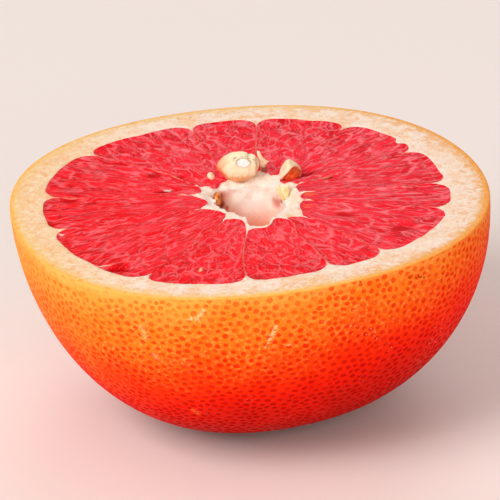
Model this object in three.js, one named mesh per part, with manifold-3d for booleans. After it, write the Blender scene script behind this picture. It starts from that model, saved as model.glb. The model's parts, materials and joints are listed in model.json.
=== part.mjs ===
// Half of a red grapefruit, cut across its middle and resting on its rounded end, with the
// seeds that stayed in its core. Millimetres, +Z up. The cut face is level, the resting spot
// is at z = 0 and -Y is the front. Angles run counter-clockwise from +X, seen from above.

import * as THREE from "three";
import { mergeVertices } from "three/addons/utils/BufferGeometryUtils.js";
import Module from "manifold-3d";

const wasm = await Module();
wasm.setup();

// The outside of the half fruit.
const diameter = 110;
const height = 51.1; // resting spot to cut face
const restingSpotRadius = 9.5;
const bodyFullness = 2.34; // 2 makes the side an ellipse, and more makes it fuller
const sideLean = 0.5; // sideways to +X, half way down
const outlineWaves = [
  { lobes: 3, size: 0.0085, turn: 2.7 },
  { lobes: 4, size: 0.017, turn: 58.2 },
];

// The cut face: a ring of rind, and one shallow bed of flesh between each two membranes.
const rindThickness = 8.3;
const rindSkew = 0.7; // thicker by this at +X, thinner by this at -X
const fleshDrop = 0.6; // the flesh has sunk this far below the rind and the membranes
const membraneThickness = 0.9;
const membraneAngles = [3, 30, 58, 86, 106, 140, 172, 197, 240, 269, 293, 311, 345];
const segmentInnerRadius = 14.5;
const segmentCornerRadius = 3;

// The open core, as its reach from its own centre at a few angles.
const hollowCentre = [0.5, -2.5];
const hollowDepth = 14;
const hollowReaches = [
  [18, 8.2],
  [60, 11.4],
  [93, 10.6],
  [124, 11],
  [156, 8.6],
  [180, 7.6],
  [227, 7.2],
  [258, 9],
  [275, 14],
  [296, 10.4],
  [325, 8.2],
];

// A torn flap of pith that stands up behind the core, as (x, z) from the face's centre and level.
const flapOutline = [
  [3.3, -1.5],
  [2.5, 4.9],
  [3.2, 4.6],
  [3.8, 3],
  [5.2, 1.7],
  [4.5, 1],
  [4.9, -1.5],
];
const flapThickness = 1;
const flapPlace = 15.2; // its middle, behind the centre

// The seeds. A place is the seed's middle from the centre of the cut face, with z up from it.
const seedClearance = 0.3;
const seeds = [
  { name: "seed_large", place: [-1.7, 12.2, 2.2], size: [10, 7.2, 6.8], taper: 0.12, roll: 8 },
  { name: "seed_back_right", place: [10.1, 11.4, 0.7], size: [5.4, 4.4, 5], taper: 0.25, roll: 24 },
  { name: "seed_small_left", place: [-8, 12.8, 0.1], size: [1.9, 2.4, 1.8], taper: 0.1, roll: -30 },
  { name: "seed_left_wall", place: [-6.9, 4.2, -2.3], size: [2.4, 3, 4.4], taper: 0.2, roll: 4 },
  { name: "seed_right_wall", place: [8.4, 3.6, -1.2], size: [3.6, 3.4, 4.2], taper: 0.25, roll: -14 },
];

// How finely the curved surfaces are faceted.
const bodySides = 72;
const bodyRings = 14;
const hollowSides = 36;
const hollowRings = 8;
const cornerSteps = 4;
const seedSides = 16;
const seedRings = 10;
const cutterRise = 8; // how far a cutting shape stands above the cut face
const mergeGap = 1e-4;

const skinMaterial = new THREE.MeshStandardMaterial({
  color: 0xf4641f,
  roughness: 0.5,
  metalness: 0,
  flatShading: true,
});
const seedMaterial = new THREE.MeshStandardMaterial({
  color: 0xfee1c1,
  roughness: 0.45,
  metalness: 0,
});

// The outline of every level slice, as a share of a true circle's radius.
function outlineAt(angle) {
  let share = 1;
  for (const wave of outlineWaves) {
    share += wave.size * Math.cos(wave.lobes * (angle - THREE.MathUtils.degToRad(wave.turn)));
  }
  return share;
}

function fleshRadiusAt(angle) {
  return (diameter / 2) * outlineAt(angle) - rindThickness - rindSkew * Math.cos(angle);
}

// A radius at any angle, eased between the [degrees, radius] pairs of a closed list.
function reachAt(reaches, angle) {
  const degrees = THREE.MathUtils.euclideanModulo(THREE.MathUtils.radToDeg(angle), 360);
  let next = reaches.findIndex(([key]) => key > degrees);
  if (next < 0) next = 0;
  const [toKey, toRadius] = reaches[next];
  const [fromKey, fromRadius] = reaches[(next + reaches.length - 1) % reaches.length];
  const span = THREE.MathUtils.euclideanModulo(toKey - fromKey, 360);
  const along = THREE.MathUtils.euclideanModulo(degrees - fromKey, 360) / span;
  return THREE.MathUtils.lerp(fromRadius, toRadius, (1 - Math.cos(Math.PI * along)) / 2);
}

// Moves every vertex of a geometry by a function that changes the vertex in place.
function reshape(geometry, change) {
  const position = geometry.getAttribute("position");
  const point = new THREE.Vector3();
  for (let i = 0; i < position.count; i += 1) {
    point.fromBufferAttribute(position, i);
    change(point);
    position.setXYZ(i, point.x, point.y, point.z);
  }
  return geometry;
}

// Turns a profile of (radius, height) points round +Z.
function turned(profile, sides) {
  return new THREE.LatheGeometry(profile, sides).rotateX(Math.PI / 2);
}

function solidOf(geometry) {
  const bare = geometry.clone();
  bare.deleteAttribute("normal");
  bare.deleteAttribute("uv");
  const merged = mergeVertices(bare, mergeGap);
  const mesh = new wasm.Mesh({
    numProp: 3,
    vertProperties: merged.getAttribute("position").array,
    triVerts: new Uint32Array(merged.index.array),
  });
  return new wasm.Manifold(mesh);
}

function geometryOf(solid) {
  const mesh = solid.getMesh();
  const geometry = new THREE.BufferGeometry();
  geometry.setAttribute("position", new THREE.BufferAttribute(mesh.vertProperties, 3));
  geometry.setIndex(new THREE.BufferAttribute(mesh.triVerts, 1));
  geometry.computeVertexNormals();
  return geometry;
}

// The whole outside. The steepness is the angle from the pole: 0 there, a quarter turn at the face.
function bodyGeometry() {
  const spotSteepness = Math.asin((restingSpotRadius / (diameter / 2)) ** (bodyFullness / 2));
  const poleDepth = height / Math.cos(spotSteepness);
  const profile = [new THREE.Vector2(0, 0)];
  for (let i = 0; i <= bodyRings; i += 1) {
    const steepness = THREE.MathUtils.lerp(spotSteepness, Math.PI / 2, i / bodyRings);
    const radius = (diameter / 2) * Math.sin(steepness) ** (2 / bodyFullness);
    profile.push(new THREE.Vector2(radius, height - poleDepth * Math.cos(steepness)));
  }
  profile.push(new THREE.Vector2(0, height));
  return reshape(turned(profile, bodySides), (point) => {
    const share = outlineAt(Math.atan2(point.y, point.x));
    point.x = point.x * share + sideLean * Math.sin((Math.PI * point.z) / height);
    point.y *= share;
  });
}

// A point at a radius beside the membrane at an angle, half a membrane away from its middle.
function besideMembrane(angle, radius, side) {
  const offset = (side * membraneThickness) / 2;
  return new THREE.Vector2(
    radius * Math.cos(angle) - offset * Math.sin(angle),
    radius * Math.sin(angle) + offset * Math.cos(angle),
  );
}

// The outline of one segment of flesh: two straight walls, an outer arc and a rounded nose.
function segmentShape(from, to) {
  const middle = (from + to) / 2;
  const outer = fleshRadiusAt(middle);
  const cornerTurn = segmentCornerRadius / outer;
  const wallEnd = outer - segmentCornerRadius;
  const fromNose = besideMembrane(from, segmentInnerRadius, 1);
  const fromEnd = besideMembrane(from, wallEnd, 1);
  const fromCorner = besideMembrane(from, outer, 1);
  const toNose = besideMembrane(to, segmentInnerRadius, -1);
  const toEnd = besideMembrane(to, wallEnd, -1);
  const toCorner = besideMembrane(to, outer, -1);
  const noseTip = new THREE.Vector2(Math.cos(middle), Math.sin(middle));
  noseTip.multiplyScalar(segmentInnerRadius - segmentCornerRadius);
  const shape = new THREE.Shape();
  shape.moveTo(fromNose.x, fromNose.y);
  shape.lineTo(fromEnd.x, fromEnd.y);
  const arcFrom = from + cornerTurn;
  const arcTo = to - cornerTurn;
  shape.quadraticCurveTo(
    fromCorner.x,
    fromCorner.y,
    outer * Math.cos(arcFrom),
    outer * Math.sin(arcFrom),
  );
  shape.absarc(0, 0, outer, arcFrom, arcTo, false);
  shape.quadraticCurveTo(toCorner.x, toCorner.y, toEnd.x, toEnd.y);
  shape.lineTo(toNose.x, toNose.y);
  shape.quadraticCurveTo(noseTip.x, noseTip.y, fromNose.x, fromNose.y);
  return shape;
}

// The cutting shape that sinks one segment's flesh below the rind.
function segmentBed(from, to) {
  const settings = {
    depth: fleshDrop + cutterRise,
    bevelEnabled: false,
    curveSegments: cornerSteps,
  };
  return new THREE.ExtrudeGeometry(segmentShape(from, to), settings).translate(
    0,
    0,
    height - fleshDrop,
  );
}

// The cutting shape of the open core: a round-bottomed well with the outline of its reaches.
function hollowGeometry() {
  const profile = [];
  for (let i = 0; i <= hollowRings; i += 1) {
    const steepness = (i / hollowRings) * (Math.PI / 2);
    profile.push(new THREE.Vector2(Math.sin(steepness), -hollowDepth * Math.cos(steepness)));
  }
  profile.push(new THREE.Vector2(1, cutterRise));
  profile.push(new THREE.Vector2(0, cutterRise));
  const well = reshape(turned(profile, hollowSides), (point) => {
    const reach = reachAt(hollowReaches, Math.atan2(point.y, point.x));
    point.x *= reach;
    point.y *= reach;
  });
  return well.translate(hollowCentre[0], hollowCentre[1], height);
}

// The torn flap of pith, rooted below the cut face.
function flapGeometry() {
  const shape = new THREE.Shape(flapOutline.map(([x, z]) => new THREE.Vector2(x, z)));
  const sheet = new THREE.ExtrudeGeometry(shape, { depth: flapThickness, bevelEnabled: false });
  return sheet.rotateX(Math.PI / 2).translate(0, flapPlace + flapThickness / 2, height);
}

// A seed: a rounded body that is narrower at its -X end, grown by a clearance for its pocket.
function seedGeometry(seed, clearance) {
  const ball = new THREE.SphereGeometry(1, seedSides, seedRings).rotateZ(Math.PI / 2);
  const shaped = reshape(ball, (point) => {
    const girth = 1 + seed.taper * point.x;
    point.x *= seed.size[0] / 2 + clearance;
    point.y *= (seed.size[1] / 2) * girth + clearance;
    point.z *= (seed.size[2] / 2) * girth + clearance;
  });
  const [x, y, z] = seed.place;
  return shaped.rotateY(-THREE.MathUtils.degToRad(seed.roll)).translate(x, y, height + z);
}

function halfFruitSolid() {
  let solid = solidOf(bodyGeometry());
  const angles = membraneAngles.map((angle) => THREE.MathUtils.degToRad(angle));
  angles.forEach((from, i) => {
    const to = i + 1 < angles.length ? angles[i + 1] : angles[0] + 2 * Math.PI;
    solid = solid.subtract(solidOf(segmentBed(from, to)));
  });
  solid = solid.subtract(solidOf(hollowGeometry()));
  solid = solid.add(solidOf(flapGeometry()));
  for (const seed of seeds) {
    solid = solid.subtract(solidOf(seedGeometry(seed, seedClearance)));
  }
  return solid;
}

function named(name, geometry, material) {
  const mesh = new THREE.Mesh(geometry, material);
  mesh.name = name;
  return mesh;
}

const fruit = new THREE.Group();
fruit.add(named("half_grapefruit", geometryOf(halfFruitSolid()), skinMaterial));
for (const seed of seeds) {
  fruit.add(named(seed.name, seedGeometry(seed, 0), seedMaterial));
}

// The waves shift the outline a little, so the fruit is put back in the middle of its own box.
const middle = new THREE.Box3().setFromObject(fruit).getCenter(new THREE.Vector3());
fruit.position.set(-middle.x, -middle.y, 0);

export default fruit;
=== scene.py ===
import json
import math
from functools import partial

import bmesh
import bpy
import numpy as np
from mathutils import Matrix, Vector, noise
from mathutils.geometry import delaunay_2d_cdt


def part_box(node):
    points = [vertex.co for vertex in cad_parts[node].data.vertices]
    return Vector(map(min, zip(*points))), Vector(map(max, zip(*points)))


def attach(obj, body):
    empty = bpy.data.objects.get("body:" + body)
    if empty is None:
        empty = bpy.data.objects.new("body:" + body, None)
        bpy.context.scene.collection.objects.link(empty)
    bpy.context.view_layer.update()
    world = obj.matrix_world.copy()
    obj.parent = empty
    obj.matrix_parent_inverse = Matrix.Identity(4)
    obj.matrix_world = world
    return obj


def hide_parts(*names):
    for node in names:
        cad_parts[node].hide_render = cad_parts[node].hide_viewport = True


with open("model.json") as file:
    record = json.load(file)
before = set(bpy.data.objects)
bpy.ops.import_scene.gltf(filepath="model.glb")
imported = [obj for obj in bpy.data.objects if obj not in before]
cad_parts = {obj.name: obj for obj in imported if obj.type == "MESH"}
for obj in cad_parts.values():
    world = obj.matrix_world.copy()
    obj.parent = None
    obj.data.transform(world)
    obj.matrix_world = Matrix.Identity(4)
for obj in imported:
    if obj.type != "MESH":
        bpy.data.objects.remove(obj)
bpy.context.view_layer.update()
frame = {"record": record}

mm = 0.001  # every size below is in millimetres, every angle in degrees, until a mesh is made
turn = 2 * math.pi
scene = bpy.context.scene

# what every piece shares: the fruit's form, and its cut face

fruit = dict(
    radius=55.0,
    spotRadius=9.5,  # the small flat it rests on
    fullness=2.34,  # 2 would make the side an ellipse
    lean=0.5,
    waves=((3, 0.0085, 2.7), (4, 0.017, 58.2)),  # lobes, size, turn
    zest=1.3,  # the coloured layer of the rind
    rind=8.3,
    rindSkew=0.7,  # thicker on the right by this, thinner on the left
)
faceLevel = frame["record"]["physics"]["openings"][0]["box_m"][1][2] / mm
spotSteepness = math.asin((fruit["spotRadius"] / fruit["radius"]) ** (fruit["fullness"] / 2))
poleDepth = faceLevel / math.cos(spotSteepness)


def outline(angle):
    share = 1.0
    for lobes, size, twist in fruit["waves"]:
        share = share + size * np.cos(lobes * (angle - math.radians(twist)))
    return share


def bodyPoint(angle, steepness, inset=0.0):
    # steepness is 0 at the resting pole and a quarter turn at the cut face
    reach = (fruit["radius"] - inset) * np.abs(np.sin(steepness)) ** (2 / fruit["fullness"])
    level = faceLevel - (poleDepth - inset) * np.cos(steepness)
    level = np.maximum(level, inset)
    side = fruit["lean"] * np.sin(np.pi * np.clip(level / faceLevel, 0, 1))
    x = reach * outline(angle) * np.cos(angle) + side
    y = reach * outline(angle) * np.sin(angle)
    return np.stack(np.broadcast_arrays(x, y, level), -1)


def bodyNormal(angle, steepness):
    step = 1e-3
    around = bodyPoint(angle + step, steepness) - bodyPoint(angle - step, steepness)
    along = bodyPoint(angle, steepness + step) - bodyPoint(angle, steepness - step)
    normal = np.cross(around, along)
    length = np.linalg.norm(normal, axis=-1, keepdims=True)
    down = np.array([0.0, 0.0, -1.0])
    normal = np.where(length > 1e-9, normal / np.maximum(length, 1e-9), down)
    return np.where((steepness < spotSteepness)[..., None], down, normal)


def middleOfBody():
    around, down = np.meshgrid(np.linspace(0, turn, 73), np.linspace(spotSteepness, turn / 4, 15))
    points = bodyPoint(around, down).reshape(-1, 3)
    return (points.min(0) + points.max(0)) / 2


faceCentre = np.array([-middleOfBody()[0], -middleOfBody()[1], 0.0])  # as the CAD sits in its box


def fleshRadius(angle):
    return fruit["radius"] * outline(angle) - fruit["rind"] - fruit["rindSkew"] * np.cos(angle)


# small helpers


def linear(code):
    # sRGB hex to linear colour
    parts = [int(code[i : i + 2], 16) / 255 for i in (1, 3, 5)]
    return tuple(c / 12.92 if c <= 0.04045 else ((c + 0.055) / 1.055) ** 2.4 for c in parts) + (1.0,)


shortNames = {
    # nodes used often: the kind, its settings, the sockets its values go to and the output it gives
    # eased from nothing to 1, or between the last two values, while the first goes between the next two
    "fade": (
        "ShaderNodeMapRange",
        {"interpolation_type": "SMOOTHSTEP"},
        ("Value", "From Min", "From Max", "To Min", "To Max"),
        0,
    ),
    "blend": ("ShaderNodeMix", {"data_type": "RGBA"}, (0, 6, 7), 2),
    "noise": ("ShaderNodeTexNoise", {}, ("Vector", "Scale", "Detail", "Roughness"), 0),
    "attribute": ("ShaderNodeAttribute", {}, (), "Fac"),
    "vector scale": ("ShaderNodeVectorMath", {"operation": "SCALE"}, (0, "Scale"), 0),
}
for word in ("add", "subtract", "multiply", "divide", "minimum", "maximum", "absolute"):
    shortNames[word] = ("ShaderNodeMath", {"operation": word.upper()}, (0, 1), 0)
for word in ("add", "subtract", "multiply", "multiply_add", "normalize"):
    shortNames["vector " + word] = ("ShaderNodeVectorMath", {"operation": word.upper()}, (0, 1, 2), 0)
for word in ("length", "distance", "dot_product"):
    shortNames["vector " + word] = ("ShaderNodeVectorMath", {"operation": word.upper()}, (0, 1), "Value")


def addNode(tree, kind, *values, stops=(), **settings):
    # one node with its settings; its inputs are values, hex colours or sockets to link from
    kind, ready, sockets, output = shortNames.get(kind, (kind, {}, None, None))
    node = tree.nodes.new(kind)
    for name, value in {**ready, **settings}.items():
        setattr(node, name, value)
    inputs = dict(zip(sockets, values)) if sockets is not None else dict(*values)
    for key, value in inputs.items():
        if isinstance(value, bpy.types.NodeSocket):
            tree.links.new(value, node.inputs[key])
        else:
            isColour = isinstance(value, str) and value.startswith("#")
            node.inputs[key].default_value = linear(value) if isColour else value
    for position, colour in stops[1:-1]:
        node.color_ramp.elements.new(position).color = colour
    for end in (0, -1) if stops else ():
        node.color_ramp.elements[end].position, node.color_ramp.elements[end].color = stops[end]
    return node if output is None else node.outputs[output]


def sway(put, pattern, most):
    # a pattern from 0 to 1 made to go as far below nothing as above it
    return put("multiply", put("subtract", pattern, 0.5), most)


def reachAt(reaches, angle):
    # a radius eased between (degrees, radius) pairs that go once round
    keys = np.array([key for key, _ in reaches], float)
    radii = np.array([radius for _, radius in reaches], float)
    keys = np.concatenate([keys, keys[:1] + 360])
    radii = np.concatenate([radii, radii[:1]])
    degrees = keys[0] + np.mod(np.degrees(angle) - keys[0], 360)
    place = np.clip(np.searchsorted(keys, degrees, side="right") - 1, 0, len(keys) - 2)
    along = (degrees - keys[place]) / (keys[place + 1] - keys[place])
    ease = (1 - np.cos(np.pi * along)) / 2
    return radii[place] + (radii[place + 1] - radii[place]) * ease


def eased(values, low, high):
    share = np.clip((values - low) / (high - low), 0, 1)
    return share * share * (3 - 2 * share)


def lumps(points, size, shift=0.0):
    # smooth noise between -1 and 1 whose lumps are about that many millimetres
    return np.array([noise.noise(Vector((x, y, z + shift)) / size) for x, y, z in points])


def paintOver(paint, code, share):
    # lays a colour over what is already painted; the last column says how much is covered
    share = np.clip(share, 0, 1)[:, None]
    colour = np.array(linear(code)[:3])
    under = paint[:, 3:] * (1 - share)
    cover = share + under
    mixed = (colour * share + paint[:, :3] * under) / np.maximum(cover, 1e-6)
    paint[:, :3] = np.where(cover > 1e-6, mixed, colour)
    paint[:, 3:] = cover


def resampled(points, spacing):
    # a closed line through the points, at an even spacing
    points = np.asarray(points, float)
    closed = np.concatenate([points, points[:1]])
    lengths = np.concatenate([[0], np.cumsum(np.linalg.norm(np.diff(closed, axis=0), axis=1))])
    count = max(12, int(round(lengths[-1] / spacing)))
    places = np.linspace(0, lengths[-1], count, endpoint=False)
    return np.stack([np.interp(places, lengths, closed[:, k]) for k in (0, 1)], -1)


def insideLoop(points, loop):
    # even-odd rule for many points at once
    inside = np.zeros(len(points), bool)
    following = np.roll(loop, -1, axis=0)
    for (ax, ay), (bx, by) in zip(loop, following):
        if ay == by:
            continue
        crosses = (ay > points[:, 1]) != (by > points[:, 1])
        at = ax + (points[:, 1] - ay) * (bx - ax) / (by - ay)
        inside ^= crosses & (points[:, 0] < at)
    return inside


def distanceTo(points, loops):
    # how far each point is from the nearest point of the loops
    targets = np.concatenate(loops)
    best = np.full(len(points), np.inf)
    for start in range(0, len(targets), 200):
        part = targets[start : start + 200]
        gaps = np.linalg.norm(points[:, None] - part[None], axis=2)
        best = np.minimum(best, gaps.min(1))
    return best


def sheetOf(outer, holes, spacing, seed):
    # a flat, evenly triangulated sheet with holes: its points, its triangles and how many lie on loops
    loops = [outer, *holes]
    low, high = outer.min(0), outer.max(0)
    rowGap = spacing * math.sqrt(3) / 2
    xs, ys = np.arange(low[0], high[0], spacing), np.arange(low[1], high[1], rowGap)
    gridX, gridY = np.meshgrid(xs, ys)
    gridX = gridX + (np.arange(len(ys)) % 2)[:, None] * spacing / 2
    grid = np.stack([gridX.ravel(), gridY.ravel()], -1)
    grid = grid + np.random.default_rng(seed).uniform(-0.12, 0.12, grid.shape) * spacing
    grid = grid[insideLoop(grid, outer)]
    for hole in holes:
        grid = grid[~insideLoop(grid, hole)]
    grid = grid[distanceTo(grid, loops) > 0.55 * spacing]
    points = np.concatenate([*loops, grid])
    edges, start = [], 0
    for loop in loops:
        count = len(loop)
        edges += [(start + i, start + (i + 1) % count) for i in range(count)]
        start += count
    made = delaunay_2d_cdt([Vector(p) for p in points], edges, [], 0, 1e-7, True)
    faces = np.array(made[2])
    order = np.array([ids[0] for ids in made[3]])  # each made point's first source point
    faces = order[faces]
    middles = points[faces].mean(1)
    keep = insideLoop(middles, outer)
    for hole in holes:
        keep &= ~insideLoop(middles, hole)
    faces = faces[keep]
    a, b, c = (points[faces[:, k]] for k in range(3))
    area = (b[:, 0] - a[:, 0]) * (c[:, 1] - a[:, 1]) - (b[:, 1] - a[:, 1]) * (c[:, 0] - a[:, 0])
    faces[area < 0] = faces[area < 0][:, ::-1]
    return points, faces[np.abs(area) > 1e-9], start


# by how many numbers a point has
attributeKinds = {1: ("FLOAT", "value"), 3: ("FLOAT_VECTOR", "vector"), 4: ("FLOAT_COLOR", "color")}


def makePiece(name, points, faces, material, attributes):
    # a mesh object at the origin, from points in millimetres from the face's centre line
    mesh = bpy.data.meshes.new(name)
    placed = (np.asarray(points, float) + faceCentre) * mm
    mesh.from_pydata(placed.tolist(), [], [list(map(int, f)) for f in faces])
    for key, values in attributes.items():
        values = np.asarray(values, np.float32)
        kind, field = attributeKinds[values.size // len(values)]
        mesh.attributes.new(key, kind, "POINT").data.foreach_set(field, values.ravel())
    mesh.polygons.foreach_set("use_smooth", [True] * len(mesh.polygons))
    mesh.materials.append(material)
    piece = bpy.data.objects.new(name, mesh)
    scene.collection.objects.link(piece)
    return piece


def tidyNormals(piece, crease=50):
    # normals outward, and a hard edge wherever two faces meet at more than the crease
    bm = bmesh.new()
    bm.from_mesh(piece.data)
    bmesh.ops.recalc_face_normals(bm, faces=bm.faces[:])
    for edge in bm.edges:
        edge.smooth = len(edge.link_faces) != 2 or edge.calc_face_angle() < math.radians(crease)
    bm.to_mesh(piece.data)
    bm.free()


def startTree(name, inputs):
    # a geometry tree with named inputs, the function that puts nodes in it, and what it is given
    tree = bpy.data.node_groups.new(name, "GeometryNodeTree")
    tree.interface.new_socket("Geometry", in_out="OUTPUT", socket_type="NodeSocketGeometry")
    for key, kind in {"Geometry": "Geometry", **inputs}.items():
        tree.interface.new_socket(key, in_out="INPUT", socket_type="NodeSocket" + kind)
    return tree, partial(addNode, tree), tree.nodes.new("NodeGroupInput").outputs


def endTree(put, geometry, material):
    realised = put("GeometryNodeRealizeInstances", {"Geometry": geometry}).outputs[0]
    dressed = put("GeometryNodeSetMaterial", {"Geometry": realised, "Material": material})
    put("NodeGroupOutput", {0: dressed.outputs[0]})


def grown(piece, tree, values):
    # runs a geometry tree on a piece, with its inputs set by identifier, and keeps the plain mesh
    modifier = piece.modifiers.new("grow", "NODES")
    modifier.node_group = tree
    for item in tree.interface.items_tree:
        if item.in_out == "INPUT" and item.name in values:
            modifier[item.identifier] = values[item.name]
    bpy.context.view_layer.update()
    evaluated = piece.evaluated_get(bpy.context.evaluated_depsgraph_get())
    mesh = bpy.data.meshes.new_from_object(evaluated)
    piece.modifiers.remove(modifier)
    piece.data = mesh
    mesh.name = piece.name


# the camera

lens = dict(
    elevation=23.44,
    roll=3.1,
    distance=1100.0,
    focal=348.87,  # on a 36 mm wide sensor
    above=53.2,  # the face's centre shows this far above the frame's middle, in 500ths of its width
    left=3.1,
)


def makeCamera():
    camera = bpy.data.objects.new("camera", bpy.data.cameras.new("camera"))
    camera.data.lens = lens["focal"]
    camera.data.sensor_width = 36.0
    camera.data.clip_start = 0.05
    camera.data.clip_end = 20.0
    rise = math.radians(lens["elevation"])
    forward = Vector((0, math.cos(rise), -math.sin(rise)))
    aimedAt = Vector(faceCentre) + Vector((0, 0, faceLevel))
    perUnit = 36.0 / (500 * lens["focal"])
    drop = Matrix.Rotation(-math.atan(lens["above"] * perUnit), 4, "X")
    swing = Matrix.Rotation(-math.atan(lens["left"] * perUnit), 4, "Y")
    tilt = Matrix.Rotation(turn / 4 - rise, 4, "X")
    roll = Matrix.Rotation(-math.radians(lens["roll"]), 4, "Z")
    place = Matrix.Translation((aimedAt - forward * lens["distance"]) * mm)
    camera.matrix_world = place @ tilt @ roll @ drop @ swing
    scene.collection.objects.link(camera)
    scene.camera = camera


makeCamera()
print("camera placed")

# materials


def newMaterial(name):
    # a material and the function that puts nodes in it
    material = bpy.data.materials.new(name)
    material.use_nodes = True
    material.node_tree.nodes.clear()
    return material, partial(addNode, material.node_tree)


def surface(put, colour, bump=None, bumpDistance=0.1, **values):
    # the shader, with fixed numbers straight on its own sockets
    inputs = {"Base Color": colour, "IOR": 1.4, "Subsurface Radius": (1.0, 0.4, 0.2)}
    inputs.update({key.replace("_", " "): value for key, value in values.items()})
    if bump is not None:
        relief = {"Height": bump, "Distance": bumpDistance * mm, "Strength": 1.0}
        inputs["Normal"] = put("ShaderNodeBump", relief).outputs[0]
    shader = put("ShaderNodeBsdfPrincipled", inputs)
    put("ShaderNodeOutputMaterial", {0: shader.outputs[0]})


def millimetres(put):
    # Object coordinates in millimetres
    return put("vector scale", put("ShaderNodeTexCoord").outputs["Object"], 1 / mm)


def withPaint(put, colour):
    # a colour under what was painted on the piece's own points
    painted = put("ShaderNodeAttribute", attribute_name="paint").outputs
    return put("blend", painted["Alpha"], colour, painted["Color"])


skinLook = dict(
    # the net between the glands and the glands, from the resting pole up to the cut edge; the darker reds
    # low down are partly blush and partly painted shade
    net=("#a00a02", "#ce1102", "#f31c02", "#fd3102", "#ff5808", "#ff7614", "#ff7d1a", "#fe9e3a"),
    gland=("#7c0401", "#a60502", "#cb0a02", "#e41a02", "#f13104", "#f8470c", "#fa5512", "#fb7a26"),
    stops=(0.0, 0.24, 0.4, 0.51, 0.64, 0.75, 0.83, 0.95),
    # how much redder and darker the skin gets to the right: partly blush, partly painted shade away from
    # the key light
    blushAndShadeRight=0.0036,  # for each millimetre to the right
    cutOuter="#fdb658",
    cutInner="#fdcb84",
    cutRight="#f69a44",
    cutGland="#f99a3a",
    nearCut="#fdc066",
    stain="#fb8c2c",
    pale="#ffae52",
    scuff="#ffdcb4",
    marks=(
        # from and to as an angle round the fruit and a depth under the face, half width, colour
        ((-103.0, 4.9), (-101.1, 2.7), 0.42, "#ffcf8e"),
        ((-104.6, 5.2), (-104.2, 4.8), 0.3, "#ffd79e"),
        ((-86.8, 11.2), (-85.3, 8.4), 0.42, "#ffc88c"),
        ((-88.0, 13.1), (-87.3, 12.1), 0.2, "#ffbc80"),
        ((-82.8, 13.2), (-82.1, 13.3), 0.25, "#ffc08a"),
        ((-114.8, 15.0), (-114.2, 16.2), 0.35, "#fb9a70"),
        ((-116.4, 8.0), (-116.0, 10.6), 0.6, "#ffb066"),
        ((-109.2, 32.2), (-108.3, 33.4), 0.4, "#fb7a34"),
        ((-50.9, 2.7), (-50.4, 2.8), 0.2, "#5a1408"),
        ((-48.8, 3.6), (-47.4, 3.9), 0.22, "#3c1008"),
        ((-46.6, 4.4), (-46.2, 4.5), 0.18, "#5a1408"),
        ((-64.2, 0.5), (-64.0, 0.7), 0.2, "#b8480c"),
    ),
)


def alongMark(put, where, start, end):
    # how far each place is from the short line between two places on the skin
    ends = []
    for around, below in (start, end):
        point = bodyPoint(math.radians(around), math.acos(below / poleDepth)) + faceCentre
        ends.append(tuple(float(c) for c in point))
    line = tuple(b - a for a, b in zip(*ends))
    reach = sum(c * c for c in line)
    away = put("vector subtract", where, ends[0])
    share = put("vector dot_product", away, tuple(c / reach for c in line))
    share = put("multiply", share, 1.0, use_clamp=True)
    return put("vector distance", away, put("vector scale", line, share))


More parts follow.
